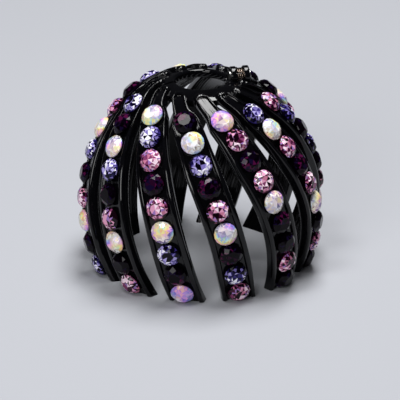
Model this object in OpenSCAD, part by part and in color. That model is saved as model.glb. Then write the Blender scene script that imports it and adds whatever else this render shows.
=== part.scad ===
// Bird nest hair clip: a hollow dome of twelve leaning ribs, each set with a row of nine
// cut stones. The dome is moulded in two halves that hinge beside the hole in its top.
// Millimetres. The feet of the ribs stand on z = 0, the dome's axis is Z, and -Y is the front.
// An azimuth is measured from the front, and grows towards +X.

/* [Dome] */
// Widest radius of the ribs' outer faces
waist_r = 23.95; // [23.5:0.05:24.5]
// Height of the widest place above the feet
waist_z = 13.6; // [13:0.1:14]
// Radius of the arc that a rib follows from the crown to its foot
side_arc_r = 29.9; // [29:0.1:31]
// Radius of the flatter arc of the crown, round the hole
crown_arc_r = 13.2; // [12.5:0.1:14]
// Slope at which the crown's arc passes into the side's arc, in degrees
crown_slope = 35; // [33:1:37]
// Slope at the edge of the hole, in degrees
hole_slope = 10; // [8:1:12]

/* [Ribs] */
// Thickness of a rib
rib_t = 2.2; // [1.8:0.1:2.4]
// Depth of the channel that the stones sit in
channel_depth = 0.45; // [0.3:0.05:0.6]
// Half of the channel's width beside the stones
channel_half = 2.45; // [2.4:0.05:2.5]
// Half of the channel's width in its bare end above the first stone
bare_half = 1; // [0.8:0.1:1.1]
// Bevel along the upper edges of a rib
rib_bevel = 0.2; // [0.1:0.05:0.3]
// Azimuth of the first rib where the crown's arc ends, in degrees
first_azimuth = -112; // [-114:1:-110]

/* [Ring] */
// Outer radius of the ring that joins the upper ends of the ribs
ring_r = 9; // [8.8:0.05:9.1]
// Thickness of the ring
ring_t = 2.1; // [2:0.05:2.2]
// How far the ring's face lies below the faces of the ribs
ring_sink = 0.45; // [0.4:0.05:0.5]

/* [Stones] */
// Width of a cut stone
stone_d = 4.65; // [4.5:0.05:4.7]
// Distance between two stones along a rib
stone_pitch = 4.95; // [4.9:0.05:5]
// Distance of the first stone from the end of the crown's arc
first_stone = 4.16; // [4:0.02:4.3]
// Height of a stone's table above the face of the rib
table_h = 1.3; // [1:0.05:1.4]

/* [Hinge] */
// Azimuth of the hinge and of the cut between the halves, in degrees
hinge_azimuth = 102.6; // [101.4:0.6:102.6]
// Height of the hinge's axis
hinge_z = 39.6; // [39.5:0.1:39.7]
// Radius of the knuckles
knuckle_r = 2; // [1.9:0.05:2.1]
// Length of a knuckle
knuckle_l = 1.1; // [1:0.05:1.2]
// Distance of the inner knuckle from the dome's axis
knuckle_from = 6; // [5.9:0.05:6.1]
// Radius of the hinge pin
pin_r = 0.7; // [0.6:0.05:0.8]
// Gap between a knuckle's bore and the pin
pin_gap = 0.03; // [0.02:0.01:0.05]
// Thickness of the spring's wire
wire_d = 0.32; // [0.3:0.01:0.34]
// How far the halves open, in degrees
opening = 45; // [30:1:45]

/* [Hidden] */

rib_count = 12;
stones_per_rib = 9;
// Half of the gap between the halves, and the free space round parts that swing past each other
half_cut = 0.3;
swing_room = 0.3;
round_fn = 64;

plastic_colour = "#0b0b10";
pin_colour = "#8d8f96";
spring_colour = "#b9bac0";

// Lean of a rib away from the straight line down the dome: [slope, lean], in degrees
LEAN = [
    [8, 10],
    [crown_slope, 32],
    [43, 27],
    [52, 20],
    [67, 20],
    [84, 16],
    [101, 13],
    [119, 15]
];

// Width of a rib: [distance from the end of the crown's arc, width]
WIDTH = [
    [-5.6, 2.3],
    [-3.3, 2.7],
    [-0.8, 3.1],
    [1.2, 3.6],
    [4.2, 5.6],
    [9, 6.2],
    [16, 7.1],
    [38, 7.2],
    [47, 6.7]
];

// Stones from the top of each rib to its foot: crystal, lavender, rose, amethyst
ROWS = [
    "ARCLARCAL",
    "LACLARCAR",
    "CLRARCLAC",
    "ACLARCALR",
    "CRARCAARA",
    "LCRARCARA",
    "RLALARCAC",
    "ACRACLARA",
    "ARCALRCLR",
    "LRACRALCA",
    "CARLACRAL",
    "LACRCALRA"
];

// Geometry of the dome's two arcs, as distances from its axis and heights above the feet
side_x = waist_r - side_arc_r;
crown_x = side_x + (side_arc_r - crown_arc_r) * sin(crown_slope);
crown_z = waist_z + (side_arc_r - crown_arc_r) * cos(crown_slope);

// Radius of the arc at a slope, and the place of a point that stands out from the rib's face
function arc_r(s) = s > crown_slope ? side_arc_r : crown_arc_r;
function arc_x(s) = s > crown_slope ? side_x : crown_x;
function arc_z(s) = s > crown_slope ? waist_z : crown_z;
function face_r(s, out) = arc_x(s) + (arc_r(s) + out) * sin(s);
function face_z(s, out) = arc_z(s) + (arc_r(s) + out) * cos(s);

// The ribs' middle line runs through the middle of the stones, which stand out by this much
stone_out = 0.8;
slope_step = 0.5;
last_slope = 119;
function lean(s) = lookup(s, LEAN);
function line_r(s) = arc_r(s) + stone_out;
function turn_step(s) = slope_step * line_r(s) * tan(lean(s)) / face_r(s, stone_out);
function length_step(s) = slope_step * PI / 180 * line_r(s) / cos(lean(s));
TURN = [
    for (s = hole_slope, t = 0; s <= last_slope; t = t + turn_step(s), s = s + slope_step) [s, t]
];
LENGTH = [
    for (s = hole_slope, d = 0; s <= last_slope; d = d + length_step(s), s = s + slope_step) [d, s]
];
function turn(s) = lookup(s, TURN) - lookup(crown_slope, TURN);
crown_length = [for (row = LENGTH) if (row[1] == crown_slope) row[0]][0];
function slope_at(distance) = lookup(distance + crown_length, LENGTH);

// Directions on the dome's face: outwards, straight down it, level round it, across and along a rib
function outward(az, s) = [sin(s) * sin(az), -sin(s) * cos(az), cos(s)];
function down(az, s) = [cos(s) * sin(az), -cos(s) * cos(az), -sin(s)];
function level(az) = [cos(az), sin(az), 0];
function sideways(az, s) = cos(lean(s)) * level(az) - sin(lean(s)) * down(az, s);
function along(az, s) = cos(lean(s)) * down(az, s) + sin(lean(s)) * level(az);

// A place on a rib: how far across it, how far out from its face, at a slope and azimuth
function place(az, s, across, out) =
    let (r = face_r(s, 0))
    [r * sin(az), -r * cos(az), face_z(s, 0)] + out * outward(az, s) + across * sideways(az, s);

// The channel starts round, stays narrow in its bare end, and widens to hold the first stone
channel_from = -3.3;
bare_to = 1.6;
channel_wide = 3.4;
function channel_w(distance) =
    let (into = distance - channel_from)
    into <= 0 ? 0 :
    into < bare_half ? sqrt(pow(bare_half, 2) - pow(bare_half - into, 2)) :
    distance < bare_to ? bare_half :
    distance < channel_wide ?
        bare_half + (channel_half - bare_half) * (distance - bare_to) / (channel_wide - bare_to) :
    channel_half;

// Outline of a rib's section; above the channel it keeps a hairline groove
under_bevel = 0.5;
hairline_half = 0.3;
hairline_depth = 0.06;
function section(distance) =
    let (
        half = lookup(distance, WIDTH) / 2,
        slot = max(channel_w(distance), hairline_half),
        floor_out = distance > channel_from ? -channel_depth : -hairline_depth
    )
    [
        [-half + under_bevel, -rib_t],
        [half - under_bevel, -rib_t],
        [half, -rib_t + under_bevel],
        [half, -rib_bevel],
        [half - rib_bevel, 0],
        [slot, 0],
        [slot, floor_out],
        [-slot, floor_out],
        [-slot, 0],
        [-half + rib_bevel, 0],
        [-half, -rib_bevel],
        [-half, -rib_t + under_bevel]
    ];
section_n = 12;

// Distances along a rib at which its section is drawn, before the two sections of its foot
foot_slope = 113;
foot_distance = 47;
DISTANCES = [
    -5.6, -4.4, channel_from - 0.05, channel_from + 0.05, channel_from + 0.3, channel_from + 1,
    -0.6, bare_to, 2.6, channel_wide, 5.4, 8, 11, 14, 17.5, 21, 24.5, 28, 31.5, 35, 38.5, 42
];

function rib_section(az, s, distance) =
    [for (p = section(distance)) place(az, s, p[0], p[1])];
function on_floor(p, way) = p - way * p[2] / way[2];
function rib_azimuth(number) = first_azimuth + (number - 1) * 360 / rib_count;

// One rib, swept from the ring to its foot
module rib(number) {
    base = rib_azimuth(number);
    rings = [
        for (d = DISTANCES) let (s = slope_at(d)) rib_section(base + turn(s), s, d)
    ];
    foot_az = base + turn(foot_slope);
    last_ring = rib_section(foot_az, foot_slope, foot_distance);
    foot_ring = [for (p = last_ring) on_floor(p, along(foot_az, foot_slope))];
    all_rings = concat(rings, [last_ring, foot_ring]);
    ring_n = len(all_rings);
    points = [for (ring = all_rings) for (p = ring) p];
    walls = [
        for (i = [0 : ring_n - 2]) for (k = [0 : section_n - 1])
        let (
            a = i * section_n + k,
            b = i * section_n + (k + 1) % section_n,
            c = b + section_n,
            d = a + section_n
        )
        for (face = [[a, c, b], [a, d, c]]) face
    ];
    first_cap = [for (k = [0 : section_n - 1]) k];
    last_cap = [for (k = [section_n - 1 : -1 : 0]) (ring_n - 1) * section_n + k];
    polyhedron(points = points, faces = concat([first_cap], walls, [last_cap]), convexity = 6);
}

// Half of the ring round the hole, swept in short straight steps from one split to the other
lip_r = 0.5;
lip_angle = 60;
ring_bands = 3;
ring_steps = 24;
function ring_profile() =
    let (
        outer_slope = asin((ring_r - crown_x) / (crown_arc_r - ring_sink)),
        slopes = [
            for (i = [0 : ring_bands]) outer_slope + (hole_slope - outer_slope) * i / ring_bands
        ],
        inner_r = face_r(hole_slope, -ring_sink),
        lip_z = face_z(hole_slope, -ring_sink) - ring_t / 2
    )
    concat(
        [for (s = slopes) [face_r(s, -ring_sink), face_z(s, -ring_sink)]],
        [
            for (a = [lip_angle, -lip_angle])
            [inner_r - lip_r * cos(a), lip_z + (ring_t / 2 - lip_r) * sign(a) + lip_r * sin(a)]
        ],
        [
            for (s = [slopes[ring_bands], slopes[0]])
            [face_r(s, -ring_sink - ring_t), face_z(s, -ring_sink - ring_t)]
        ]
    );
module half_ring(from_azimuth) {
    profile = ring_profile();
    n = len(profile);
    points = [
        for (j = [0 : ring_steps])
        let (az = from_azimuth + 180 * j / ring_steps)
        for (p = profile)
        [p[0] * sin(az), -p[0] * cos(az), p[1]]
    ];
    walls = [
        for (j = [0 : ring_steps - 1]) for (k = [0 : n - 1])
        let (
            a = j * n + k,
            b = j * n + (k + 1) % n
        )
        [a, b, b + n, a + n]
    ];
    first_cap = [for (k = [n - 1 : -1 : 0]) k];
    last_cap = [for (k = [0 : n - 1]) ring_steps * n + k];
    polyhedron(points = points, faces = concat([first_cap], walls, [last_cap]), convexity = 6);
}

// Places the children along the hinge: their Z runs outwards along the hinge's axis
module on_hinge(distance) {
    rotate([0, 0, hinge_azimuth - 90])
        translate([distance, 0, hinge_z])
            rotate([0, 90, 0])
                children();
}

// Gap between the two halves of the ring, with room above the axis for the halves to swing
cut_deep = 5;
cut_high = 4;
cut_spare = 3;
module ring_cut() {
    spread = cut_high * tan(opening / 2 + cut_spare);
    rotate([0, 0, hinge_azimuth - 90])
        translate([-ring_r - half_cut, 0, hinge_z])
            rotate([90, 0, 90])
                linear_extrude(height = 2 * (ring_r + half_cut))
                    polygon([
                        [-half_cut, -cut_deep], [half_cut, -cut_deep], [half_cut, 0],
                        [half_cut + spread, cut_high], [-half_cut - spread, cut_high],
                        [-half_cut, 0]
                    ]);
}

// Half of the crown that belongs to the other half of the dome: no rib end reaches into it
crown_room = 0.4;
module other_crown(from_azimuth) {
    rotate([0, 0, from_azimuth - 90])
        translate([0, half_cut / 2, hinge_z - cut_deep])
            linear_extrude(height = cut_deep + cut_high)
                polygon([for (a = [0 : 15 : 180]) (ring_r + crown_room) * [cos(a), sin(a)]]);
}

// Along the hinge: inner knuckle, coil, outer knuckle, with gaps between them, and a head past each end
knuckle_gap = 0.1;
coil_room = 1.3;
coil_r = 1.5;
coil_from = knuckle_from + knuckle_l + knuckle_gap;
outer_from = coil_from + coil_room + knuckle_gap;
head_h = 0.3;
head_r = 1.2;
head_gap = 0.05;
shaft_past = 0.1;
bore_past = 1;

module knuckle(distance) {
    on_hinge(distance)
        cylinder(h = knuckle_l, r = knuckle_r, $fn = round_fn);
}

module knuckle_room(distance) {
    on_hinge(distance - knuckle_gap)
        cylinder(h = knuckle_l + 2 * knuckle_gap, r = knuckle_r + swing_room, $fn = round_fn);
}

module coil_pocket() {
    on_hinge(coil_from - knuckle_gap)
        cylinder(h = coil_room + 2 * knuckle_gap, r = coil_r + wire_d / 2 + swing_room, $fn = round_fn);
}

module head_pockets() {
    room = head_h + swing_room;
    for (distance = [knuckle_from - room, outer_from + knuckle_l])
        on_hinge(distance)
            cylinder(h = room, r = head_r + swing_room, $fn = round_fn);
}

module pin_hole() {
    bore_l = outer_from + knuckle_l - knuckle_from + 2 * bore_past;
    on_hinge(knuckle_from - bore_past)
        cylinder(h = bore_l, r = pin_r + pin_gap, $fn = round_fn);
}

// Half of the dome: its ribs, its half of the ring, and its knuckle of the hinge
module dome_half(from_azimuth, first_rib, own_knuckle, other_knuckle) {
    difference() {
        union() {
            difference() {
                union() {
                    half_ring(from_azimuth);
                    for (i = [0 : rib_count / 2 - 1])
                        rib((first_rib + i - 1) % rib_count + 1);
                }
                other_crown(from_azimuth + 180);
                ring_cut();
                coil_pocket();
                head_pockets();
                knuckle_room(other_knuckle);
            }
            knuckle(own_knuckle);
        }
        pin_hole();
    }
}

module left_half() {
    color(plastic_colour) dome_half(hinge_azimuth, 9, knuckle_from, outer_from);
}

module right_half() {
    color(plastic_colour) dome_half(hinge_azimuth - 180, 3, outer_from, knuckle_from);
}

// Hinge pin with a low round head at each end
module hinge_pin() {
    shaft_l = outer_from + knuckle_l - knuckle_from + 2 * shaft_past;
    color(pin_colour) {
        on_hinge(knuckle_from - head_h - head_gap)
            cylinder(h = head_h, r = head_r, $fn = round_fn);
        on_hinge(knuckle_from - shaft_past)
            cylinder(h = shaft_l, r = pin_r, $fn = round_fn);
        on_hinge(outer_from + knuckle_l + head_gap)
            cylinder(h = head_h, r = head_r, $fn = round_fn);
    }
}

// Torsion spring: a wire wound three times round the pin, with a stub and a leg on the right half
coil_turns = 3;
coil_steps = 16;
coil_start = 0.02;
wire_gap = 0.04;
wire_sides = 6;
wire_stub = 0.7;
SPRING_LEG = [[0.1, -0.8, 0], [0.6, -1.8, 0], [0.75, -2.6, 0]];
function coil_point(i) =
    let (a = 360 * i / coil_steps)
    [-coil_r * cos(a), -coil_r * sin(a), wire_d / 2 + coil_start + (wire_d + wire_gap) * a / 360];
module hinge_spring() {
    turns = [for (i = [0 : coil_turns * coil_steps]) coil_point(i)];
    last = turns[len(turns) - 1];
    path = concat(
        [turns[0] + [0, wire_stub, 0]],
        turns,
        [for (step = SPRING_LEG) last + step]
    );
    n = len(path);
    function way(i) =
        let (d = path[min(i + 1, n - 1)] - path[max(i - 1, 0)]) d / norm(d);
    rings = [
        for (i = [0 : n - 1])
        let (
            t = way(i),
            side_raw = cross(t, [0, 0, 1]),
            side = side_raw / norm(side_raw),
            up = cross(side, t)
        )
        for (k = [0 : wire_sides - 1])
        path[i] + wire_d / 2 * (cos(360 * k / wire_sides) * side + sin(360 * k / wire_sides) * up)
    ];
    walls = [
        for (i = [0 : n - 2]) for (k = [0 : wire_sides - 1])
        let (
            a = i * wire_sides + k,
            b = i * wire_sides + (k + 1) % wire_sides
        )
        for (face = [[a, b + wire_sides, a + wire_sides], [a, b, b + wire_sides]]) face
    ];
    first_cap = [for (k = [wire_sides - 1 : -1 : 0]) k];
    last_cap = [for (k = [0 : wire_sides - 1]) (n - 1) * wire_sides + k];
    color(spring_colour)
        on_hinge(coil_from)
            polyhedron(points = rings, faces = concat([first_cap], walls, [last_cap]));
}

// A cut stone on its own axis: an octagonal table, sixteen crown facets and a back that narrows
stone_sides = 8;
table_half = 1.25;
back_half = 1.4;
back_gap = 0.05;
girdle_low = 0.12;
girdle_high = 0.36;
function stone_ring(r, h, shift) =
    [
        for (k = [0 : stone_sides - 1])
        let (a = 360 * (k + shift) / stone_sides)
        [r * cos(a), r * sin(a), h]
    ];
module cut_stone() {
    points = concat(
        stone_ring(back_half, -channel_depth + back_gap, 0),
        stone_ring(stone_d / 2, girdle_low, 0),
        stone_ring(stone_d / 2, girdle_high, 0),
        stone_ring(table_half, table_h, 0.5)
    );
    n = stone_sides;
    band = [
        for (j = [0 : 2]) for (k = [0 : n - 1])
        let (a = j * n + k, b = j * n + (k + 1) % n)
        for (face = [[a, a + n, b], [b, a + n, b + n]]) face
    ];
    back = [for (k = [0 : n - 1]) k];
    table = [for (k = [n - 1 : -1 : 0]) 3 * n + k];
    polyhedron(points = points, faces = concat([back], band, [table]));
}

function stone_colour(letter) =
    letter == "C" ? "#e9e4ee" :
    letter == "L" ? "#8f8fc8" :
    letter == "R" ? "#d99bb0" :
    "#3d1438";

// The row of stones in one rib's channel
module stone_row(number) {
    base = rib_azimuth(number);
    for (i = [0 : stones_per_rib - 1]) {
        s = slope_at(first_stone + i * stone_pitch);
        az = base + turn(s);
        color(stone_colour(ROWS[number - 1][i]))
            translate(place(az, s, 0, 0))
                rotate([0, 0, az - 90])
                    rotate([0, s, 0])
                        rotate([0, 0, -lean(s)])
                            cut_stone();
    }
}

left_half();
right_half();
hinge_pin();
hinge_spring();
stone_row(1);  // stone_row_01
stone_row(2);  // stone_row_02
stone_row(3);  // stone_row_03
stone_row(4);  // stone_row_04
stone_row(5);  // stone_row_05
stone_row(6);  // stone_row_06
stone_row(7);  // stone_row_07
stone_row(8);  // stone_row_08
stone_row(9);  // stone_row_09
stone_row(10);  // stone_row_10
stone_row(11);  // stone_row_11
stone_row(12);  // stone_row_12
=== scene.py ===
"""Bird nest hair clip: the looks of a hollow dome of leaning black ribs, each set with cut stones.

The sizes follow the model's own frame: millimetres here, metres in Blender, +Z up, feet on z = 0.
An azimuth is measured from the front, -Y, and grows towards +X.
"""

import logging
from dataclasses import dataclass
from enum import Enum
from math import asin, atan2, cos, degrees, hypot, pi, radians, sin, sqrt, tan
from random import Random
from typing import Sequence

import bmesh
import bpy
from mathutils import Matrix, Vector


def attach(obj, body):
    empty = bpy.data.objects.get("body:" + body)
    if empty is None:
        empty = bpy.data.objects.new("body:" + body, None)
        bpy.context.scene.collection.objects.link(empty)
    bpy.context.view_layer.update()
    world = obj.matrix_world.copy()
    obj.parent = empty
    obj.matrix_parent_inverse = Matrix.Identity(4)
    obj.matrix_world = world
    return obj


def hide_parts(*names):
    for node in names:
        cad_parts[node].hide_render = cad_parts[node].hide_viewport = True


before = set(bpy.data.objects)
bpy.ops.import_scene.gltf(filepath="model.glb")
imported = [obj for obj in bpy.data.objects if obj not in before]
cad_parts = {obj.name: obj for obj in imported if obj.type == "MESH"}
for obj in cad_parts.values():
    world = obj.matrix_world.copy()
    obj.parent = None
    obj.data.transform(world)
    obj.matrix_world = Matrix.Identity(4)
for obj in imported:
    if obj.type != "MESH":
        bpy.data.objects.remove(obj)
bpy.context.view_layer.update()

MM = 0.001  # metres in a millimetre
SEAM = 0.003  # points of a swept skin that are nearer than this, in mm, are joined
THIN = 0.0001  # the same for a turned shape and a cut, in mm
log = logging.getLogger("hair_clip")

Pair = tuple[float, float]
Table = Sequence[Pair]
Stops = Sequence[tuple[float, str]]
Object, BMesh, Material = bpy.types.Object, bmesh.types.BMesh, bpy.types.Material
Tree, Node, Socket = bpy.types.NodeTree, bpy.types.Node, bpy.types.NodeSocket


class Operation(Enum):
    """What one solid does to another."""

    JOIN = "UNION"
    CUT = "DIFFERENCE"


class Steps(Enum):
    """How a colour ramp runs between its stops."""

    SOFT = "LINEAR"
    HARD = "CONSTANT"


def lookup(value: float, table: Table) -> float:
    """Reads a table of rising values, straight between its rows and level past its ends.

    Args:
        value: The place to read at.
        table: Rows of (place, value).

    Returns:
        The value at that place.
    """
    if value <= table[0][0]:
        return table[0][1]
    for (a, va), (b, vb) in zip(table, table[1:]):
        if value <= b:
            return va + (vb - va) * (value - a) / (b - a)
    return table[-1][1]


def smooth(t: float) -> float:
    """Eases from 0 to 1 with level ends."""
    t = min(max(t, 0.0), 1.0)
    return t * t * (3 - 2 * t)


def srgb(code: str) -> tuple[float, float, float, float]:
    """Turns an sRGB hex colour into Blender's linear one.

    Args:
        code: Six hex digits after a hash.

    Returns:
        Linear red, green and blue, and an alpha of 1.
    """
    parts = [int(code[i:i + 2], 16) / 255 for i in (1, 3, 5)]
    linear = [c / 12.92 if c <= 0.04045 else ((c + 0.055) / 1.055) ** 2.4 for c in parts]
    return (*linear, 1.0)


@dataclass(frozen=True)
class Dome:
    """The dome's two arcs and the line that a rib follows over them, in mm and degrees."""

    waist_r: float = 23.95
    waist_z: float = 13.6
    side_arc_r: float = 29.9
    crown_arc_r: float = 13.2
    crown_slope: float = 35.0
    hole_slope: float = 10.0
    stone_out: float = 0.8
    slope_step: float = 0.5
    last_slope: float = 119.0
    rib_count: int = 12
    first_azimuth: float = -112.0
    leans: Table = ((8, 10), (35, 32), (43, 27), (52, 20), (67, 20), (84, 16), (101, 13), (119, 15))

    @property
    def side_x(self) -> float:
        """Distance of the side arc's centre from the axis."""
        return self.waist_r - self.side_arc_r

    @property
    def crown_x(self) -> float:
        """Distance of the crown arc's centre from the axis."""
        return self.side_x + (self.side_arc_r - self.crown_arc_r) * sin(radians(self.crown_slope))

    @property
    def crown_z(self) -> float:
        """Height of the crown arc's centre."""
        return self.waist_z + (self.side_arc_r - self.crown_arc_r) * cos(radians(self.crown_slope))

    def face(self, slope: float, out: float) -> Pair:
        """Distance from the axis and height of a point that stands out from the ribs' faces.

        Args:
            slope: Slope of the face there, in degrees from level.
            out: How far out from the face.

        Returns:
            Distance from the axis and height.
        """
        if slope > self.crown_slope:
            x, z, radius = self.side_x, self.waist_z, self.side_arc_r
        else:
            x, z, radius = self.crown_x, self.crown_z, self.crown_arc_r
        angle = radians(slope)
        return x + (radius + out) * sin(angle), z + (radius + out) * cos(angle)

    def lean(self, slope: float) -> float:
        """Lean of a rib away from the straight line down the dome, in degrees."""
        return lookup(slope, self.leans)

    def tables(self) -> tuple[Table, Table]:
        """Works out how far a rib has turned at each slope, and the slope at each distance along it.

        Returns:
            Rows of (slope, turn), and rows of (distance from the end of the crown's arc, slope).
        """
        turns, lengths, slope, turn, length = [], [], self.hole_slope, 0.0, 0.0
        while slope <= self.last_slope:
            turns.append((slope, turn))
            lengths.append((length, slope))
            radius = (self.side_arc_r if slope > self.crown_slope else self.crown_arc_r) + self.stone_out
            lean = radians(self.lean(slope))
            turn += self.slope_step * radius * tan(lean) / self.face(slope, self.stone_out)[0]
            length += radians(self.slope_step) * radius / cos(lean)
            slope += self.slope_step
        turned = lookup(self.crown_slope, turns)
        crown = next(d for d, s in lengths if s == self.crown_slope)
        return [(s, t - turned) for s, t in turns], [(d - crown, s) for d, s in lengths]


class RibLine:
    """Places on one rib, as distances along it, across it and out from its face, in mm."""

    def __init__(self, dome: Dome, number: int) -> None:
        """Works out the rib's line.

        Args:
            dome: The dome that it follows.
            number: The rib's number, from 1.
        """
        self.dome = dome
        self.azimuth = dome.first_azimuth + (number - 1) * 360 / dome.rib_count
        self.turns, self.lengths = dome.tables()

    def slope(self, distance: float) -> float:
        """Slope of the rib's face at a distance along it."""
        return lookup(distance, self.lengths)

    def axes(self, distance: float) -> Matrix:
        """The rib's own axes at a distance: X across, Y back along it and Z out, from the face's middle.

        Args:
            distance: Distance along the rib from the end of the crown's arc, in mm.

        Returns:
            A matrix from the rib's axes to the frame, in mm.
        """
        slope = self.slope(distance)
        azimuth = self.azimuth + lookup(slope, self.turns)
        s, az, lean = (radians(a) for a in (slope, azimuth, self.dome.lean(slope)))
        out = Vector((sin(s) * sin(az), -sin(s) * cos(az), cos(s)))
        down = Vector((cos(s) * sin(az), -cos(s) * cos(az), -sin(s)))
        level = Vector((cos(az), sin(az), 0))
        across = cos(lean) * level - sin(lean) * down
        back = out.cross(across)
        r, z = self.dome.face(slope, 0)
        place = Vector((r * sin(az), -r * cos(az), z))
        turned = Matrix((across, back, out)).transposed().to_4x4()
        return Matrix.Translation(place) @ turned


def add_node(tree: Tree, kind: str, settings: dict | None = None,
             inputs: dict | None = None, links: dict | None = None) -> Node:
    """Adds one shader node.

    Args:
        tree: The material's node tree.
        kind: The node's type, after ShaderNode.
        settings: Its own properties and their values.
        inputs: Values of its inputs, by name or number.
        links: Output sockets to link to its inputs, by name or number.

    Returns:
        The node.
    """
    node = tree.nodes.new(f"ShaderNode{kind}")
    for name, value in (settings or {}).items():
        setattr(node, name, value)
    for name, value in (inputs or {}).items():
        node.inputs[name].default_value = value
    for name, socket in (links or {}).items():
        tree.links.new(socket, node.inputs[name])
    return node


def span(word: str, ends: Pair) -> dict[str, float]:
    """The two inputs that set one range of a node, by the word that their names start with."""
    return {f"{word} Min": ends[0], f"{word} Max": ends[1]}


def ramp_stops(node: Node, stops: Stops, steps: Steps = Steps.SOFT) -> None:
    """Sets a colour ramp's stops.

    Args:
        node: A colour ramp node.
        stops: Rows of (place, hex colour).
        steps: How the ramp runs between its stops.
    """
    ramp = node.color_ramp
    ramp.interpolation = steps.value
    while len(ramp.elements) > 1:
        ramp.elements.remove(ramp.elements[-1])
    for i, (place, code) in enumerate(stops):
        element = ramp.elements[0] if i == 0 else ramp.elements.new(place)
        element.position = place
        element.color = srgb(code)


def new_material(name: str) -> tuple[Material, Tree, Node]:
    """Makes a material with a Principled shader.

    Args:
        name: Its name.

    Returns:
        The material, its node tree and the shader.
    """
    material = bpy.data.materials.new(name)
    material.use_nodes = True
    tree = material.node_tree
    return material, tree, tree.nodes["Principled BSDF"]


@dataclass(frozen=True)
class BlackPlastic:
    """Injection-moulded polystyrene, black and polished: deep black with thin bright edges.

    Faint lines that the mould's cutter left run along each rib; they are drawn coarse enough to show.
    """

    name: str = "moulded_black_polystyrene"
    tones: Stops = ((0.35, "#040406"), (0.75, "#08080b"))
    roughness: float = 0.05
    gloss_range: Pair = (0.8, 1.6)
    ior: float = 1.5
    specular: float = 0.29
    flow_mm: float = 2.4
    flow_deep_mm: float = 0.1
    ripple: float = 0.05
    line_mm: float = 0.3
    line_deep_mm: float = 0.03

    def material(self) -> Material:
        """Builds the material, with faint flow ripples and lines left by the mould.

        Returns:
            The material.
        """
        material, tree, shader = new_material(self.name)
        glosses = tuple(self.roughness * share for share in self.gloss_range)
        place = add_node(tree, "TexCoord")
        flow = add_node(tree, "TexNoise", inputs={"Scale": 1 / (self.flow_mm * MM), "Detail": 3.0},
                        links={"Vector": place.outputs["Object"]})
        tone = add_node(tree, "ValToRGB", links={"Fac": flow.outputs["Fac"]})
        ramp_stops(tone, self.tones)
        gloss = add_node(tree, "MapRange", inputs=span("To", glosses), links={"Value": flow.outputs["Fac"]})
        bump = add_node(tree, "Bump", inputs={"Strength": self.ripple, "Distance": self.flow_deep_mm * MM},
                        links={"Height": flow.outputs["Fac"]})
        across = add_node(tree, "Attribute", {"attribute_name": "across"})
        lines = add_node(tree, "TexNoise", {"noise_dimensions": "1D"},
                         {"Scale": 1 / self.line_mm, "Detail": 1.0}, {"W": across.outputs["Fac"]})
        grooves = add_node(tree, "Bump", inputs={"Strength": 1.0, "Distance": self.line_deep_mm * MM},
                           links={"Height": lines.outputs["Fac"], "Normal": bump.outputs["Normal"]})
        shader.inputs["IOR"].default_value = self.ior
        shader.inputs["Specular IOR Level"].default_value = self.specular
        tree.links.new(tone.outputs["Color"], shader.inputs["Base Color"])
        tree.links.new(gloss.outputs["Result"], shader.inputs["Roughness"])
        tree.links.new(grooves.outputs["Normal"], shader.inputs["Normal"])
        return material


@dataclass(frozen=True)
class SpringSteel:
    """Drawn steel wire and turned pin: a soft metal shine with fine dull marks."""

    name: str
    colour: str
    roughness: float = 0.28
    gloss_range: Pair = (0.7, 1.4)
    mark_mm: float = 0.12

    def material(self) -> Material:
        """Builds the material, with fine marks in its gloss.

        Returns:
            The material.
        """
        material, tree, shader = new_material(self.name)
        glosses = tuple(self.roughness * share for share in self.gloss_range)
        place = add_node(tree, "TexCoord")
        marks = add_node(tree, "TexNoise", inputs={"Scale": 1 / (self.mark_mm * MM), "Detail": 2.0},
                         links={"Vector": place.outputs["Object"]})
        gloss = add_node(tree, "MapRange", inputs=span("To", glosses), links={"Value": marks.outputs["Fac"]})
        shader.inputs["Base Color"].default_value = srgb(self.colour)
        shader.inputs["Metallic"].default_value = 1.0
        tree.links.new(gloss.outputs["Result"], shader.inputs["Roughness"])
        return material


@dataclass(frozen=True)
class CutGlass:
    """Foil-backed faceted glass under a clear gloss; its patches carry painted glints and painted shade."""

    name: str
    stops: Stops
    roughness: float = 0.06
    ior: float = 1.55
    specular: float = 0.35

    def shade(self, tree: Tree, facet: Socket) -> Socket:
        """Picks each patch's colour: the stone's own in the middle, painted shade and glints at the ends.

        Args:
            tree: The material's node tree.
            facet: The patch's tone, from 0 to 1.

        Returns:
            The colour.
        """
        tone = add_node(tree, "ValToRGB", links={"Fac": facet})
        ramp_stops(tone, self.stops, Steps.HARD)
        return tone.outputs["Color"]

    def material(self) -> Material:
        """Builds the material.

        Returns:
            The material.
        """
        material, tree, shader = new_material(self.name)
        facet = add_node(tree, "Attribute", {"attribute_name": "facet"})
        tree.links.new(self.shade(tree, facet.outputs["Fac"]), shader.inputs["Base Color"])
        shader.inputs["Roughness"].default_value = self.roughness
        shader.inputs["IOR"].default_value = self.ior
        shader.inputs["Specular IOR Level"].default_value = self.specular
        return material


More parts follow.
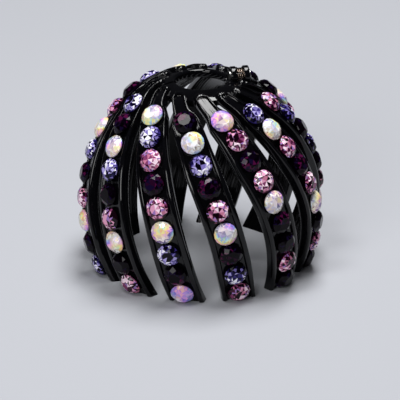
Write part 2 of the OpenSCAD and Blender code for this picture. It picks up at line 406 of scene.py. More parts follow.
@dataclass(frozen=True)
class IridescentGlass(CutGlass):
    """Clear glass with a thin coat of metal oxide: white, with soft patches of rainbow, more at its rim.

    The patches are as large as half a stone and drift from one stone to the next.
    """

    hue_mm: float = 5.5
    patch_mm: float = 2.6
    facet_shift: Pair = (-0.17, 0.17)
    hue_range: Pair = (0.32, 0.68)
    patch_range: Pair = (0.42, 0.62)
    rim_range: Pair = (0.45, 0.05)
    rim_share: Pair = (-0.3, 0.35)
    total_range: Pair = (0.0, 1.1)
    rainbow_share: Pair = (0.15, 0.9)
    rainbow: Stops = (
        (0.0, "#ffc888"), (0.09, "#ffec86"), (0.22, "#f0f2a4"), (0.32, "#b4e6dc"), (0.4, "#8ab4f2"),
        (0.47, "#7a6ad6"), (0.6, "#ac84ec"), (0.74, "#ee98e4"), (0.88, "#ffc6ce"), (1.0, "#ffc888"))

    def hue(self, tree: Tree, facet: Socket, drift: Socket) -> Socket:
        """Picks a colour of the rainbow, which drifts over the stones and jumps a little at each patch.

        Args:
            tree: The material's node tree.
            facet: The patch's tone, from 0 to 1.
            drift: A slow pattern, from 0 to 1.

        Returns:
            The colour.
        """
        shift = add_node(tree, "MapRange", inputs=span("To", self.facet_shift), links={"Value": facet})
        spread = add_node(tree, "MapRange", {"clamp": False}, span("From", self.hue_range), {"Value": drift})
        place = add_node(tree, "Math", {"operation": "ADD"},
                         links={0: spread.outputs["Result"], 1: shift.outputs["Result"]})
        wrapped = add_node(tree, "Math", {"operation": "FRACT"}, links={0: place.outputs["Value"]})
        hue = add_node(tree, "ValToRGB", links={"Fac": wrapped.outputs["Value"]})
        ramp_stops(hue, self.rainbow)
        return hue.outputs["Color"]

    def share(self, tree: Tree, cloud: Socket) -> Socket:
        """Works out how much rainbow shows: soft patches, and more near the rim.

        Args:
            tree: The material's node tree.
            cloud: A pattern of patches, from 0 to 1.

        Returns:
            The share of rainbow.
        """
        stone = add_node(tree, "UVMap", {"uv_map": "stone"})
        inwards = add_node(tree, "TexGradient", {"gradient_type": "SPHERICAL"},
                           links={"Vector": stone.outputs["UV"]})
        rim = add_node(tree, "MapRange", inputs=span("From", self.rim_range) | span("To", self.rim_share),
                       links={"Value": inwards.outputs["Fac"]})
        full = add_node(tree, "MapRange", {"clamp": False}, span("From", self.patch_range), {"Value": cloud})
        total = add_node(tree, "Math", {"operation": "ADD"},
                         links={0: rim.outputs["Result"], 1: full.outputs["Result"]})
        ends = span("From", self.total_range) | span("To", self.rainbow_share)
        limited = add_node(tree, "MapRange", inputs=ends, links={"Value": total.outputs["Value"]})
        return limited.outputs["Result"]

    def shade(self, tree: Tree, facet: Socket) -> Socket:
        """Lays the rainbow over the white facets and their painted sparkle.

        Args:
            tree: The material's node tree.
            facet: The patch's tone, from 0 to 1.

        Returns:
            The colour.
        """
        place = add_node(tree, "TexCoord")
        drift, cloud = (add_node(tree, "TexNoise", inputs={"Scale": 1 / (size * MM), "Detail": 0.0},
                                 links={"Vector": place.outputs["Object"]}).outputs["Fac"]
                        for size in (self.hue_mm, self.patch_mm))
        white = CutGlass.shade(self, tree, facet)
        mixed = add_node(tree, "Mix", {"data_type": "RGBA"},
                         links={"Factor": self.share(tree, cloud), 6: white, 7: self.hue(tree, facet, drift)})
        return mixed.outputs[2]


class Colour(Enum):
    """The four colours of stone, by the letter that the rows use."""

    CRYSTAL = "C"
    LAVENDER = "L"
    ROSE = "R"
    AMETHYST = "A"


# Each ramp: the stone's own colour in the middle, painted shade at the dark end, painted glints at the bright
# end.
GLASS = {
    Colour.CRYSTAL: IridescentGlass("iridescent_crystal_glass", (
        (0.0, "#6f627f"), (0.06, "#a99cb4"), (0.15, "#d2c9d4"), (0.33, "#f6f3f4"), (0.52, "#c9bfca"),
        (0.66, "#f2edea"), (0.88, "#ddd2b4"))),
    Colour.LAVENDER: CutGlass("lavender_glass", (
        (0.0, "#04020e"), (0.28, "#110c38"), (0.43, "#30276c"), (0.56, "#796eb0"), (0.7, "#aca2dc"),
        (0.85, "#f4f1ff")), specular=0.15),
    Colour.ROSE: CutGlass("rose_glass", (
        (0.0, "#10020a"), (0.2, "#3f0d2c"), (0.35, "#803c66"), (0.47, "#c87a98"), (0.57, "#9c76ba"),
        (0.68, "#e29fc0"), (0.84, "#ffe4f2")), specular=0.22),
    Colour.AMETHYST: CutGlass("dark_amethyst_glass", (
        (0.0, "#030004"), (0.5, "#08010d"), (0.68, "#120826"), (0.82, "#220620"), (0.93, "#460c34")),
        specular=0.1),
}


def make_object(name: str, bm: BMesh, materials: list[Material], smooth_below: float | None = None) -> Object:
    """Turns a bmesh in mm into an object in metres, at the origin.

    Args:
        name: The object's name.
        bm: The mesh; it is freed.
        materials: Its materials, in the order of its faces' numbers.
        smooth_below: Edges that bend less than this, in degrees, are shaded smooth; None leaves facets.

    Returns:
        The object, linked to the scene.
    """
    bmesh.ops.scale(bm, vec=(MM, MM, MM), verts=bm.verts)
    if smooth_below is not None:
        limit = radians(smooth_below)
        for face in bm.faces:
            face.smooth = True
        for edge in bm.edges:
            edge.smooth = len(edge.link_faces) == 2 and edge.calc_face_angle(pi) < limit
    mesh = bpy.data.meshes.new(name)
    bm.to_mesh(mesh)
    bm.free()
    for material in materials:
        mesh.materials.append(material)
    piece = bpy.data.objects.new(name, mesh)
    bpy.context.scene.collection.objects.link(piece)
    return piece


def combine(target: Object, tools: Sequence[Object], operation: Operation) -> None:
    """Joins solids to, or cuts them from, a target, and removes them.

    Args:
        target: The object that changes.
        tools: Closed solids.
        operation: What the solids do to it.
    """
    for tool in tools:
        modifier = target.modifiers.new("combine", "BOOLEAN")
        modifier.operation = operation.value
        modifier.solver = "MANIFOLD"
        modifier.object = tool
        with bpy.context.temp_override(object=target, active_object=target, selected_objects=[target]):
            bpy.ops.object.modifier_apply(modifier=modifier.name)
        bpy.data.objects.remove(tool)


def sweep(sections: Sequence[Sequence[Vector]], across: Sequence[Sequence[float]] | None = None) -> BMesh:
    """Joins closed sections into one skin and closes its ends.

    Args:
        sections: Rows of points, the same number in each, in mm.
        across: How far across its section each point lies, in mm, where the finish follows that.

    Returns:
        A closed mesh, in mm.
    """
    around, last = len(sections[0]), len(sections) - 1
    bm = bmesh.new()
    bmesh.ops.create_grid(bm, x_segments=around, y_segments=last, size=0.5)
    place = bm.verts.layers.float.new("across") if across else None
    for vert in list(bm.verts):
        row, column = round((vert.co.y + 0.5) * last), round((vert.co.x + 0.5) * around) % around
        vert.co = sections[row][column]
        if place:
            vert[place] = across[row][column]
    bmesh.ops.remove_doubles(bm, verts=bm.verts, dist=SEAM)
    bmesh.ops.holes_fill(bm, edges=bm.edges, sides=0)
    bmesh.ops.recalc_face_normals(bm, faces=bm.faces)
    return bm


@dataclass
class RibShape:
    """A rib's section and how it changes along the rib, in mm; a share is a part of another length.

    The rib starts in the ring with a ball-shaped root. Its channel starts narrow and round, bare of
    stones, and then widens to their seat.
    """

    thickness: float = 2.2
    channel_depth: float = 0.5
    channel_half: float = 2.45
    channel_tip: float = 0.3
    bare_half: float = 1.0
    channel_from: float = -3.3
    bare_to: float = 1.6
    channel_wide: float = 3.4
    sink_over: float = 0.1
    floor_round: float = 0.12
    floor_share: float = 0.999
    root: float = -4.9
    end_round: float = 1.2
    end_flat: float = 0.96
    rim_outer: float = 0.5
    rim_inner: float = 0.32
    rim_shares: Pair = (0.6, 0.38)
    low_share: float = 0.6
    root_round: float = 1.1
    root_share: float = 0.35
    root_inner: float = 0.02
    blend_from: float = 0.2
    blend_over: float = 0.5
    under_round: float = 0.5
    corner_steps: int = 5
    foot_slope: float = 113.0
    station: float = 0.7
    fine_station: float = 0.12
    fine_before: float = 0.4
    fine_after: float = 0.2
    widths: Table = ((-4.9, 2.5), (-3.3, 2.7), (-0.8, 2.95), (1.2, 3.4), (4.2, 5.6), (9, 6.2), (16, 7.1),
                     (38, 7.2), (47, 6.7))

    def channel(self, distance: float) -> float:
        """Half width of the channel, which starts round and then widens.

        Args:
            distance: Distance along the rib.

        Returns:
            The half width.
        """
        into = distance - self.channel_from
        if into <= 0:
            return self.channel_tip
        if into < self.bare_half:
            return max(self.channel_tip, sqrt(self.bare_half ** 2 - (self.bare_half - into) ** 2))
        widen = smooth((distance - self.bare_to) / (self.channel_wide - self.bare_to))
        return self.bare_half + (self.channel_half - self.bare_half) * widen

    def outline(self, distance: float) -> list[Pair]:
        """The section's outline, once round, as (across, out).

        Args:
            distance: Distance along the rib.

        Returns:
            The points of the right half from the bottom up, and the left half from the top down.
        """
        half = lookup(distance, self.widths) / 2
        slot = self.channel(distance)
        depth = self.channel_depth * smooth((distance - self.channel_from) / self.sink_over)
        past = max(0.0, 1 - (distance - self.root) / self.end_round)
        rounded = sqrt(1 - self.end_flat * past ** 2)
        half, drop = half * rounded, self.end_round * (1 - rounded)
        bare = smooth((self.channel_from + self.blend_from - distance) / self.blend_over)
        outer_share, inner_share = self.rim_shares
        outer = min(self.rim_outer + (self.root_round - self.rim_outer) * bare,
                    (half - slot) * (outer_share + self.root_share * bare))
        inner = min(self.rim_inner, (half - slot) * inner_share * (1 - bare) + self.root_inner * bare)
        low = min(inner, depth * self.low_share)
        floor = self.floor_round * min(1.0, depth / self.channel_depth)
        under = self.under_round
        turns = [i / self.corner_steps * pi / 2 for i in range(self.corner_steps + 1)]
        right = [(half - under * (1 - sin(a)), under * (1 - cos(a)) - self.thickness) for a in turns]
        right += [(half - outer * (1 - cos(a)), -drop - outer * (1 - sin(a))) for a in turns]
        right += [(slot + inner * (1 - sin(a)), -drop - low * (1 - cos(a))) for a in turns]
        right += [(slot - floor * sin(a) * self.floor_share,
                   -drop - depth + floor * (1 - cos(pi / 2 - a))) for a in turns[::2]]
        return right + [(-x, z) for x, z in reversed(right)]

    def stations(self, last: float) -> list[float]:
        """Distances along the rib at which its section is set, finer at its root and its channel's start.

        Args:
            last: Where they end.

        Returns:
            The distances.
        """
        places, d = [], self.root
        fine_from = self.channel_from - self.fine_before
        fine_to = self.channel_from + self.bare_half + self.fine_after
        while d < last:
            places.append(d)
            near = fine_from < d < fine_to or d < self.root + self.end_round
            d += self.fine_station if near else self.station
        return places


@dataclass
class RibMaker:
    """Sweeps ribs as smooth closed solids."""

    dome: Dome
    shape: RibShape

    def build(self, number: int) -> BMesh:
        """Sweeps one rib from its root in the ring to its flat foot.

        Args:
            number: The rib's number, from 1.

        Returns:
            A closed mesh, in mm.
        """
        line = RibLine(self.dome, number)
        foot = next(d for d, s in line.lengths if s >= self.shape.foot_slope)
        places = [*self.shape.stations(foot), foot]
        outlines = [self.shape.outline(d) for d in places]
        sections = [[line.axes(d) @ Vector((x, 0, z)) for x, z in outline]
                    for d, outline in zip(places, outlines)]
        way = -(line.axes(foot).to_3x3() @ Vector((0, 1, 0)))
        on_floor = [point - way * (point.z / way.z) for point in sections[-1]]
        across = [[x for x, _ in outline] for outline in [*outlines, outlines[-1]]]
        return sweep([*sections, on_floor], across)


@dataclass
class HingeSizes:
    """The hinge beside the hole, in mm and degrees."""

    azimuth: float = 102.6
    axis_z: float = 39.6
    knuckle_r: float = 2.0
    knuckle_l: float = 1.1
    knuckle_edge: float = 0.15
    inner_from: float = 6.0
    coil_room: float = 1.3
    gap: float = 0.1
    swing_room: float = 0.3
    bore_r: float = 0.73
    bore_past: float = 1.0
    head_h: float = 0.3
    head_r: float = 1.2
    coil_r: float = 1.5
    wire_d: float = 0.32
    turns: int = 3
    opening: float = 45.0

    @property
    def coil_from(self) -> float:
        """Distance of the coil's inner end from the dome's axis."""
        return self.inner_from + self.knuckle_l + self.gap

    @property
    def outer_from(self) -> float:
        """Distance of the outer knuckle's inner end from the dome's axis."""
        return self.coil_from + self.coil_room + self.gap

    def axes(self, distance: float) -> Matrix:
        """Axes on the hinge: Z outwards along its pin, from a distance, and X down."""
        return (Matrix.Rotation(radians(self.azimuth - 90), 4, "Z")
                @ Matrix.Translation((distance, 0, self.axis_z)) @ Matrix.Rotation(pi / 2, 4, "Y"))


@dataclass
class HingeMaker:
    """Builds the steel pin and the coiled spring round it, in mm."""

    sizes: HingeSizes
    pin_r: float = 0.7
    head_out: float = 0.05
    head_edge: float = 0.08
    pin_steps: int = 48
    pin_smooth: float = 32.0
    coil_steps: int = 40
    wire_sides: int = 12
    wire_gap: float = 0.04
    wire_smooth: float = 50.0
    start: float = 0.02
    stub: float = 0.7
    leg: Table = ((0.1, -0.8), (0.6, -1.8), (0.75, -2.6))

    def pin(self, material: Material) -> Object:
        """Turns the pin and its two low heads from one profile.

        Args:
            material: The pin's steel.

        Returns:
            The pin.
        """
        sizes, edge = self.sizes, self.head_edge
        inner = sizes.inner_from - sizes.head_h - self.head_out
        outer = sizes.outer_from + sizes.knuckle_l + self.head_out + sizes.head_h
        head, shaft, tall = sizes.head_r, self.pin_r, outer - inner
        profile = [(0, 0), (head - edge, 0), (head, edge), (head, sizes.head_h), (shaft, sizes.head_h)]
        profile += [(r, tall - z) for r, z in reversed(profile)]
        bm = bmesh.new()
        verts = [bm.verts.new((r, 0, z)) for r, z in profile]
        edges = [bm.edges.new(pair) for pair in zip(verts, verts[1:])]
        bmesh.ops.spin(bm, geom=edges, cent=(0, 0, 0), axis=(0, 0, 1), angle=2 * pi,
                       steps=self.pin_steps, use_merge=True)
        bmesh.ops.remove_doubles(bm, verts=bm.verts, dist=THIN)
        bmesh.ops.recalc_face_normals(bm, faces=bm.faces)
        bmesh.ops.transform(bm, matrix=sizes.axes(inner), verts=bm.verts)
        return make_object("turned_hinge_pin", bm, [material], self.pin_smooth)

    def wire(self) -> list[Vector]:
        """Works out the wire's middle line: a stub, the turns of the coil and a leg.

        Returns:
            Its points on the hinge's axes.
        """
        sizes, turns = self.sizes, []
        for i in range(sizes.turns * self.coil_steps + 1):
            share = i / self.coil_steps
            angle = 2 * pi * share
            turns.append(Vector((-sizes.coil_r * cos(angle), -sizes.coil_r * sin(angle),
                                 sizes.wire_d / 2 + self.start + (sizes.wire_d + self.wire_gap) * share)))
        stub = turns[0] + Vector((0, self.stub, 0))
        return [stub, *turns, *(turns[-1] + Vector((*step, 0)) for step in self.leg)]

    def spring(self, material: Material) -> Object:
        """Winds the spring round the pin.

        Args:
            material: The spring's steel.

        Returns:
            The spring.
        """
        radius, path = self.sizes.wire_d / 2, self.wire()
        axes, sections = self.sizes.axes(self.sizes.coil_from), []
        for before, point, after in zip(path[:1] + path, path, path[1:] + path[-1:]):
            way = (after - before).normalized()
            side = way.cross(Vector((0, 0, 1))).normalized()
            up = side.cross(way)
            angles = (2 * pi * k / self.wire_sides for k in range(self.wire_sides))
            sections.append([axes @ (point + radius * (cos(a) * side + sin(a) * up)) for a in angles])
        return make_object("wound_hinge_spring", sweep(sections), [material], self.wire_smooth)


@dataclass
class HalfMaker:
    """Builds one moulded half of the dome: six ribs, half of the ring and a knuckle; mm and degrees."""

    ribs: RibMaker
    hinge: HingeSizes
    material: Material
    ring_r: float = 9.0
    ring_t: float = 1.7
    ring_sink: float = 0.85
    ring_steps: int = 60
    face_steps: int = 10
    lip_r: float = 0.6
    lip_angle: float = 75.0
    lip_steps: int = 12
    half_cut: float = 0.3
    crown_room: float = 0.4
    crown_step: int = 5
    cut_deep: float = 5.0
    cut_high: float = 4.0
    swing_spare: float = 3.0
    rod_sides: int = 64
    edge_steps: int = 4
    smooth_below: float = 32.0

    def solid(self, bm: BMesh) -> Object:
        """Turns a mesh in mm into a working solid."""
        return make_object("work", bm, [self.material])

    def rod(self, distance: float, length: float, radius: float, rounded: float = 0.0) -> Object:
        """A round rod on the hinge's axis.

        Args:
            distance: Distance of its inner end from the dome's axis.
            length: Its length.
            radius: Its radius.
            rounded: Radius of its rounded ends' edges.

        Returns:
            The rod.
        """
        bm = bmesh.new()
        middle = self.hinge.axes(distance) @ Matrix.Translation((0, 0, length / 2))
        bmesh.ops.create_cone(bm, cap_ends=True, segments=self.rod_sides, radius1=radius, radius2=radius,
                              depth=length, matrix=middle)
        if rounded:
            rims = [e for e in bm.edges if any(len(f.verts) > 4 for f in e.link_faces)]
            bmesh.ops.bevel(bm, geom=rims, offset=rounded, offset_type="OFFSET", segments=self.edge_steps,
                            profile=0.5, affect="EDGES", material=-1)
        return self.solid(bm)

    def prism(self, outline: Table, length: float, axes: Matrix) -> Object:
        """A prism.

        Args:
            outline: Points of its end, in its own X and Y.
            length: Its length along its own Z.
            axes: Where its own axes lie.

        Returns:
            The prism.
        """
        bm = bmesh.new()
        end = bm.faces.new([bm.verts.new((x, y, 0)) for x, y in outline])
        side = bmesh.ops.extrude_face_region(bm, geom=[end])
        far = [part for part in side["geom"] if isinstance(part, bmesh.types.BMVert)]
        bmesh.ops.translate(bm, vec=(0, 0, length), verts=far)
        bmesh.ops.transform(bm, matrix=axes, verts=bm.verts)
        bmesh.ops.recalc_face_normals(bm, faces=bm.faces)
        return self.solid(bm)

    def ring_section(self) -> list[Pair]:
        """The section of the ring, as distances from the axis and heights.

        Returns:
            The points of its top inwards, of the rounded lip down, and of its underside outwards.
        """
        dome, steps = self.ribs.dome, self.face_steps
        outer = degrees(asin((self.ring_r - dome.crown_x) / (dome.crown_arc_r - self.ring_sink)))
        slopes = [outer + (dome.hole_slope - outer) * i / steps for i in range(steps + 1)]
        top = [dome.face(s, -self.ring_sink) for s in slopes]
        under = [dome.face(s, -self.ring_sink - self.ring_t) for s in reversed(slopes)]
        inner_r, lip_z = top[-1][0], top[-1][1] - self.ring_t / 2
        lip = []
        for i in range(self.lip_steps + 1):
            a = radians(self.lip_angle - 2 * self.lip_angle * i / self.lip_steps)
            shift = (self.ring_t / 2 - self.lip_r) * (1 if a > 0 else -1 if a < 0 else 0)
            lip.append((inner_r - self.lip_r * cos(a), lip_z + shift + self.lip_r * sin(a)))
        return top + lip + under

    def ring(self, from_azimuth: float) -> Object:
        """Half of the ring round the hole, turned from its section.

        Args:
            from_azimuth: Azimuth at which the half starts.

        Returns:
            The half ring.
        """
        start = radians(from_azimuth)
        bm = bmesh.new()
        section = bm.faces.new([bm.verts.new((r * sin(start), -r * cos(start), z))
                                for r, z in self.ring_section()])
        bmesh.ops.spin(bm, geom=[section], cent=(0, 0, 0), axis=(0, 0, 1), angle=pi,
                       steps=self.ring_steps, use_duplicate=False)
        bmesh.ops.recalc_face_normals(bm, faces=bm.faces)
        return self.solid(bm)

    def split(self) -> Object:
        """The gap between the halves of the ring, which widens above the axis for them to swing.

        Returns:
            The solid to cut away.
        """
        spread = self.cut_high * tan(radians(self.hinge.opening / 2 + self.swing_spare))
        gap, reach = self.half_cut, self.ring_r + self.half_cut
        outline = ((-gap, -self.cut_deep), (gap, -self.cut_deep), (gap, 0), (gap + spread, self.cut_high),
                   (-gap - spread, self.cut_high), (-gap, 0))
        axes = (Matrix.Rotation(radians(self.hinge.azimuth - 90), 4, "Z")
                @ Matrix.Translation((-reach, 0, self.hinge.axis_z))
                @ Matrix.Rotation(pi / 2, 4, "Y") @ Matrix.Rotation(pi / 2, 4, "Z"))
        return self.prism(outline, 2 * reach, axes)

    def other_crown(self, from_azimuth: float) -> Object:
        """The half of the crown that the other half of the clip fills.

        Args:
            from_azimuth: Azimuth at which that half starts.

        Returns:
            The solid to cut away.
        """
        radius = self.ring_r + self.crown_room
        angles = [radians(a) for a in range(0, 181, self.crown_step)]
        outline = [(radius * cos(a), radius * sin(a)) for a in angles]
        axes = (Matrix.Rotation(radians(from_azimuth - 90), 4, "Z")
                @ Matrix.Translation((0, self.half_cut / 2, self.hinge.axis_z - self.cut_deep)))
        return self.prism(outline, self.cut_deep + self.cut_high, axes)

    def build(self, name: str, from_azimuth: float, first_rib: int, own: float, other: float) -> Object:
        """Builds the half.

        Args:
            name: The piece's name.
            from_azimuth: Azimuth at which its half of the ring starts.
            first_rib: Number of its first rib.
            own: Distance of its own knuckle along the hinge.
            other: Distance of the other half's knuckle.

        Returns:
            The half, with smooth faces and sharp edges.
        """
        hinge = self.hinge
        half = self.ring(from_azimuth)
        count = self.ribs.dome.rib_count
        ribs = [self.solid(self.ribs.build((first_rib + i - 1) % count + 1)) for i in range(count // 2)]
        combine(half, ribs, Operation.JOIN)
        room, head = hinge.swing_room, hinge.head_h + hinge.swing_room
        coil_pocket = hinge.coil_r + hinge.wire_d / 2 + room
        combine(half, [
            self.other_crown(from_azimuth + 180), self.split(),
            self.rod(hinge.coil_from - hinge.gap, hinge.coil_room + 2 * hinge.gap, coil_pocket),
            self.rod(hinge.inner_from - head, head, hinge.head_r + room),
            self.rod(hinge.outer_from + hinge.knuckle_l, head, hinge.head_r + room),
            self.rod(other - hinge.gap, hinge.knuckle_l + 2 * hinge.gap, hinge.knuckle_r + room),
        ], Operation.CUT)
        combine(half, [self.rod(own, hinge.knuckle_l, hinge.knuckle_r, hinge.knuckle_edge)], Operation.JOIN)
        bore = hinge.outer_from + hinge.knuckle_l - hinge.inner_from + 2 * hinge.bore_past
        combine(half, [self.rod(hinge.inner_from - hinge.bore_past, bore, hinge.bore_r)], Operation.CUT)
        bm = bmesh.new()
        bm.from_mesh(half.data)
        bpy.data.objects.remove(half)
        bmesh.ops.scale(bm, vec=(1 / MM, 1 / MM, 1 / MM), verts=bm.verts)
        return make_object(name, bm, [self.material], self.smooth_below)


@dataclass
class StoneShape:
    """A round cut stone in mm: girdle, crown of flat facets, table, and the painted sparkle of its patches.
    """

    sides: int = 8
    diameter: float = 4.65
    table_z: float = 1.3
    girdle_low: float = 0.12
    girdle_high: float = 0.36
    table_share: float = 0.56
    star_share: float = 0.79
    back_z: float = -0.4
    back_half: float = 1.4
    flat_below: float = 1.5
    patch_lines: Table = ((0.0, 0.5), (0.44, 0.0), (0.8, 0.5))
    patch_facing: float = 0.2
    symmetry: float = 0.55
    mirror_steps: int = 14
    # Painted light and shade on each stone: one side brighter, the rim darker.
    painted_light_slant: float = 0.3
    painted_rim_shade: float = 0.22
    rim_from: float = 0.72
    rim_over: float = 0.25
    tone_top: float = 0.999

    def points(self) -> list[Vector]:
        """Works out the corners of the stone.

        Returns:
            The corners of the table, the points of the stars, and the corners of the girdle and the back.
        """
        radius, sides = self.diameter / 2, self.sides
        crown = self.table_z - self.girdle_high
        table_r, star_r = self.table_share * radius, self.star_share * radius
        star_z = self.girdle_high + crown * (radius - star_r * cos(pi / sides)) / (radius - table_r)

        def around(count: int, r: float, z: float, shift: float = 0.0) -> list[Vector]:
            """Points round a circle."""
            return [Vector((r * cos(2 * pi * (i + shift) / count),
                            r * sin(2 * pi * (i + shift) / count), z)) for i in range(count)]

        return (around(sides, table_r, self.table_z) + around(sides, star_r, star_z, 0.5)
                + around(2 * sides, radius, self.girdle_high) + around(2 * sides, radius, self.girdle_low)
                + around(sides, self.back_half, self.back_z))

    def cut_patches(self, bm: BMesh) -> None:
        """Divides the facets along straight lines, as the back's facets show through them.

        Args:
            bm: The stone's mesh.
        """
        for share, turned in self.patch_lines:
            for i in range(self.sides):
                angle = (i + turned) * 2 * pi / self.sides
                across = Vector((cos(angle), sin(angle), 0))
                seen = [f for f in bm.faces if f.normal.z > self.patch_facing]
                edges = {e for f in seen for e in f.edges}
                verts = {v for f in seen for v in f.verts}
                bmesh.ops.bisect_plane(bm, geom=[*seen, *edges, *verts], dist=THIN, plane_no=across,
                                       plane_co=across * share * self.diameter / 2)

    def tone(self, centre: Vector, rng: Random, shared: dict[tuple[int, int], float], bright: float) -> float:
        """Works out a patch's painted sparkle tone: often its mirror images', with painted light on one side.

        Args:
            centre: The patch's middle on the stone's axes.
            rng: Source of the tones.
            shared: Tones that mirror images have in common.
            bright: Direction of the side with painted light.

        Returns:
            A tone from 0 to 1.
        """
        out = hypot(centre.x, centre.y) / (self.diameter / 2)
        angle = atan2(centre.y, centre.x)
        folded = abs(angle % (2 * pi / self.sides) - pi / self.sides)
        key = (round(out * self.mirror_steps), round(folded * self.mirror_steps))
        tone = shared.setdefault(key, rng.random()) if rng.random() < self.symmetry else rng.random()
        # Painted light: one side of the stone, in a random direction, is drawn brighter.
        tone += self.painted_light_slant * out * cos(angle - bright)
        # Painted shade: patches near the girdle are drawn darker.
        tone -= self.painted_rim_shade * smooth((out - self.rim_from) / self.rim_over)
        return min(max(tone, 0.0), self.tone_top)

    def build(self, rng: Random, material_index: int) -> BMesh:
        """Cuts one stone and gives each patch of its facets a tone of painted sparkle.

        Args:
            rng: Source of the tones.
            material_index: Number of its material.

        Returns:
            The stone's mesh on its own axes, in mm.
        """
        bm = bmesh.new()
        for point in self.points():
            bm.verts.new(point)
        bmesh.ops.convex_hull(bm, input=bm.verts)
        bmesh.ops.dissolve_limit(bm, angle_limit=radians(self.flat_below), verts=bm.verts, edges=bm.edges)
        bmesh.ops.recalc_face_normals(bm, faces=bm.faces)
        self.cut_patches(bm)
        tone, place = bm.faces.layers.float.new("facet"), bm.loops.layers.uv.new("stone")
        shared, bright, turned = {}, rng.uniform(0, 2 * pi), rng.uniform(0, 2 * pi)
        for face in bm.faces:
            face[tone] = self.tone(face.calc_center_median(), rng, shared, bright)
            face.material_index = material_index
            face.smooth = False
            for corner in face.loops:
                flat = Vector(corner.vert.co.xy) / (self.diameter / 2)
                flat.rotate(Matrix.Rotation(turned, 2))
                corner[place].uv = flat
        return bm


@dataclass
class StoneRows:
    """Sets the rows of stones into the channels; distances along a rib in mm, colours from the top down."""

    dome: Dome
    shape: StoneShape
    first: float = 4.16
    pitch: float = 4.95
    seeds_per_row: int = 100
    most_turn: float = 45.0
    rows: Sequence[str] = ("ARCLARCAL", "LACLARCAR", "CLRARCLAC", "ACLARCALR", "CRARCAARA", "LCRARCARA",
                           "RLALARCAC", "ACRACLARA", "ARCALRCLR", "LRACRALCA", "CARLACRAL", "LACRCALRA")

    def build(self, number: int, materials: dict[Colour, Material]) -> Object:
        """Builds one row.

        Args:
            number: Number of its rib, from 1.
            materials: The glass of each colour.

        Returns:
            The row as one piece.
        """
        line = RibLine(self.dome, number)
        order = list(materials)
        row = bmesh.new()
        row.faces.layers.float.new("facet")
        row.loops.layers.uv.new("stone")
        for i, letter in enumerate(self.rows[number - 1]):
            rng = Random(number * self.seeds_per_row + i)
            stone = self.shape.build(rng, order.index(Colour(letter)))
            turn = Matrix.Rotation(radians(rng.uniform(0, self.most_turn)), 4, "Z")
            place = line.axes(self.first + i * self.pitch) @ turn
            bmesh.ops.transform(stone, matrix=place, verts=stone.verts)
            mesh = bpy.data.meshes.new("stone")
            stone.to_mesh(mesh)
            stone.free()
            row.from_mesh(mesh)
            bpy.data.meshes.remove(mesh)
        return make_object(f"cut_stones_{number:02d}", row, [materials[c] for c in order])


@dataclass(frozen=True)
class Softbox:
    """A soft light: its name, the place of its middle and its two sides in mm, and its power in watts."""

    name: str
    place: tuple[float, float, float]
    size: Pair
    power: float


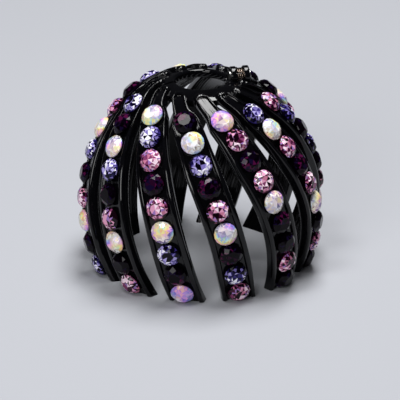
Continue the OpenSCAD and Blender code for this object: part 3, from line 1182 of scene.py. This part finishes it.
@dataclass
class Studio:
    """A pale floor, soft light and the camera, in mm and degrees."""

    elevation: float = 23.34
    distance: float = 828.0
    target: tuple[float, float, float] = (-0.2, 0.0, 13.2)
    lens: float = 368.0
    clip: Pair = (50.0, 20000.0)
    floor_half: float = 3000.0
    floor_colour: str = "#b0b2b8"
    floor_roughness: float = 0.85
    sky_colour: str = "#c9cbd2"
    sky_strength: float = 0.06
    softboxes: Sequence[Softbox] = (
        Softbox("overhead", (62, 85, 620), (200, 390), 4.4),
        Softbox("left", (-185, -170, 600), (140, 140), 1.0),
        Softbox("front", (-300, -720, 380), (420, 300), 2.8))

    def camera(self) -> None:
        """Adds the camera at the photograph's angle."""
        data = bpy.data.cameras.new("camera")
        data.lens = self.lens
        data.clip_start, data.clip_end = (reach * MM for reach in self.clip)
        camera = bpy.data.objects.new("camera", data)
        bpy.context.scene.collection.objects.link(camera)
        up = radians(self.elevation)
        target = Vector(self.target)
        place = target + self.distance * Vector((0, -cos(up), sin(up)))
        camera.location = place * MM
        camera.rotation_euler = (target - place).to_track_quat("-Z", "Y").to_euler()
        bpy.context.scene.camera = camera

    def floor(self) -> None:
        """Adds the floor of matt pale paper, which shows soft shadows and no gloss."""
        bm = bmesh.new()
        bmesh.ops.create_grid(bm, x_segments=1, y_segments=1, size=self.floor_half)
        material, _, shader = new_material("matt_paper")
        shader.inputs["Base Color"].default_value = srgb(self.floor_colour)
        shader.inputs["Roughness"].default_value = self.floor_roughness
        make_object("floor", bm, [material])

    def light(self, box: Softbox) -> None:
        """Adds a soft light that faces the clip.

        Args:
            box: The light.
        """
        data = bpy.data.lights.new(box.name, "AREA")
        data.shape = "RECTANGLE"
        data.size, data.size_y = (side * MM for side in box.size)
        data.energy = box.power
        light = bpy.data.objects.new(box.name, data)
        light.location = Vector(box.place) * MM
        out = (Vector(box.place) - Vector((0, 0, self.target[2]))).normalized()
        up = out.cross(Vector((1, 0, 0))).normalized()
        light.rotation_euler = Matrix((up.cross(out), up, out)).transposed().to_euler()
        bpy.context.scene.collection.objects.link(light)

    def build(self) -> None:
        """Adds the camera, the floor, the lights and a dim even sky."""
        self.camera()
        self.floor()
        for box in self.softboxes:
            self.light(box)
        bpy.context.scene.view_settings.view_transform = "Standard"
        world = bpy.data.worlds.new("studio")
        bpy.context.scene.world = world
        world.use_nodes = True
        background = world.node_tree.nodes["Background"]
        background.inputs["Color"].default_value = srgb(self.sky_colour)
        background.inputs["Strength"].default_value = self.sky_strength


def main() -> None:
    """Builds the clip and its studio."""
    logging.basicConfig(level=logging.INFO, format="%(message)s")
    Studio().build()
    dome, hinge = Dome(), HingeSizes()
    plastic = BlackPlastic().material()
    halves = HalfMaker(RibMaker(dome, RibShape()), hinge, plastic)
    left = halves.build("moulded_left_half", hinge.azimuth, first_rib=9,
                        own=hinge.inner_from, other=hinge.outer_from)
    right = halves.build("moulded_right_half", hinge.azimuth - 180, first_rib=3,
                         own=hinge.outer_from, other=hinge.inner_from)
    for piece, body, node in ((left, "left", "left_half"), (right, "right", "right_half")):
        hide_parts(node)
        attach(piece, body)
        log.info("%s: %d faces", piece.name, len(piece.data.polygons))
    glass = {colour: finish.material() for colour, finish in GLASS.items()}
    rows = StoneRows(dome, StoneShape())
    for number in range(1, dome.rib_count + 1):
        row = rows.build(number, glass)
        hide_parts(f"stone_row_{number:02d}")
        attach(row, "right" if 3 <= number <= 8 else "left")
        log.info("%s: %d faces", row.name, len(row.data.polygons))
    maker = HingeMaker(hinge)
    pin = maker.pin(SpringSteel("drawn_pin_steel", "#8e8d8c").material())
    spring = maker.spring(SpringSteel("oiled_spring_steel", "#75685e", roughness=0.22).material())
    for piece, node, slot in ((pin, "hinge_pin", "pin_steel"), (spring, "hinge_spring", "spring_steel")):
        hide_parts(node)
        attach(piece, "right")
        log.info("%s: %d faces", piece.name, len(piece.data.polygons))


if __name__ == "__main__":
    main()
